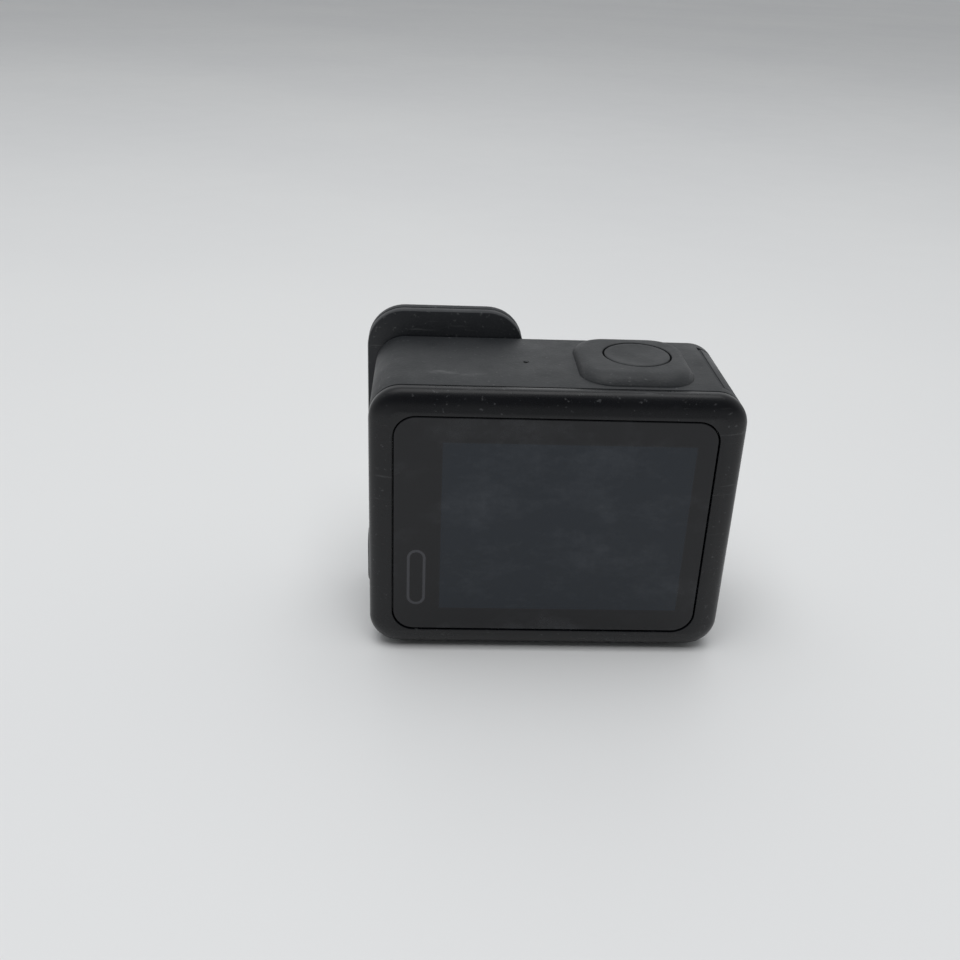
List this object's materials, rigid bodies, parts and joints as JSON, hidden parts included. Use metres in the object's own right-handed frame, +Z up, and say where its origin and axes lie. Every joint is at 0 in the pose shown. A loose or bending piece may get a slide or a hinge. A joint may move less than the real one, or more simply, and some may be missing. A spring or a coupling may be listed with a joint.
{
  "type": "action camera",
  "caption": "Compact action camera with touch display, front display, twist-off lens cover, side door over battery and ports, and fold-out mounting fingers.",
  "frame": {"origin": "centre of the finger base's resting face, on the table plane", "axes": "+Z up, -Y towards the lens and front display, +Y towards the rear touch display, +X towards the lens and mode button side"},
  "size_m": [0.0705, 0.0364, 0.0596],
  "materials": {
    "housing_polymer": "fine matte texture, dark grey",
    "black_polymer": "satin, near black",
    "gloss_black_polymer": "gloss black rim",
    "cover_glass": "polished, black backed",
    "display_module": "dark display panel",
    "optical_glass": "coated, polished",
    "silicone_rubber": "matte",
    "stainless_steel": "brushed",
    "aluminium": "anodised, satin",
    "circuit_board": "solder mask",
    "component_body": "moulded",
    "battery_wrap": "wrapped in printed film",
    "pale_polymer": "soft, pale"
  },
  "bodies": {
    "camera": {"housing": "housing_polymer", "front_panel": "black_polymer", "front_glass": "cover_glass", "front_display": "display_module", "status_light": "pale_polymer", "rear_frame": "gloss_black_polymer", "rear_seal": "silicone_rubber", "rear_glass": "cover_glass", "rear_display": "display_module", "display_bracket": "aluminium", "lens_mount": "black_polymer", "lens_barrel": "black_polymer", "front_element": "optical_glass", "inner_element": "optical_glass", "aperture_stop": "component_body", "rear_element": "optical_glass", "ir_filter": "optical_glass", "image_sensor": "display_module", "sensor_board": "circuit_board", "shutter_seal": "silicone_rubber", "shutter_spring": "stainless_steel", "shutter_switch": "component_body", "shutter_board": "circuit_board", "mode_switch": "component_body", "mode_board": "circuit_board", "hinge_pin": "stainless_steel", "battery": "battery_wrap", "battery_tab": "pale_polymer", "battery_contacts": "component_body", "usb_port": "stainless_steel", "card_slot": "stainless_steel", "memory_card": "component_body", "main_board": "circuit_board", "board_screw_1": "stainless_steel", "board_screw_2": "stainless_steel", "board_screw_3": "stainless_steel", "processor": "component_body", "memory_chip": "component_body", "power_chip": "component_body", "thermal_pad": "pale_polymer", "heat_spreader": "aluminium", "speaker": "component_body", "speaker_mesh": "silicone_rubber", "top_microphone": "stainless_steel", "mic_membrane": "silicone_rubber", "finger_base": "black_polymer", "finger_pin_left": "stainless_steel", "finger_pin_right": "stainless_steel"},
    "lens_cover": {"lens_cover": "black_polymer", "lens_cover_glass": "cover_glass", "lens_cover_seal": "silicone_rubber"},
    "shutter": {"shutter_button": "housing_polymer"},
    "mode": {"mode_button": "black_polymer"},
    "door": {"side_door": "black_polymer", "door_gasket": "silicone_rubber", "latch_spring": "stainless_steel"},
    "latch": {"door_latch": "housing_polymer"},
    "finger_l": {"finger_left": "black_polymer"},
    "finger_r": {"finger_right": "black_polymer"}
  },
  "joints": [
    {"name": "lens_cover_twist", "type": "hinge", "parent": "camera", "child": "lens_cover", "pos_m": [0.0204, -0.018, 0.0439], "axis": [0, -1, 0], "range_deg": [0, 45]},
    {"name": "shutter_press", "type": "slide", "parent": "camera", "child": "shutter", "axis": [0, 0, -1], "range_m": [0, 0.0007], "stiffness_N_per_m": 3000, "springref_m": -0.0003},
    {"name": "mode_press", "type": "slide", "parent": "camera", "child": "mode", "axis": [-1, 0, 0], "range_m": [0, 0.0005], "stiffness_N_per_m": 3000, "springref_m": -0.0003},
    {"name": "door_hinge", "type": "hinge", "parent": "camera", "child": "door", "pos_m": [-0.03052, 0, 0.05273], "axis": [0, 1, 0], "range_deg": [0, 95]},
    {"name": "latch_slide", "type": "slide", "parent": "door", "child": "latch", "axis": [0, 0, -1], "range_m": [0, 0.002], "stiffness_N_per_m": 500, "springref_m": -0.001},
    {"name": "finger_left_fold", "type": "hinge", "parent": "camera", "child": "finger_l", "pos_m": [-0.00305, 0, 0.00175], "axis": [0, -1, 0], "range_deg": [0, 90]},
    {"name": "finger_right_fold", "type": "hinge", "parent": "camera", "child": "finger_r", "pos_m": [0.00305, 0, 0.00175], "axis": [0, 1, 0], "range_deg": [0, 90]}
  ]
}
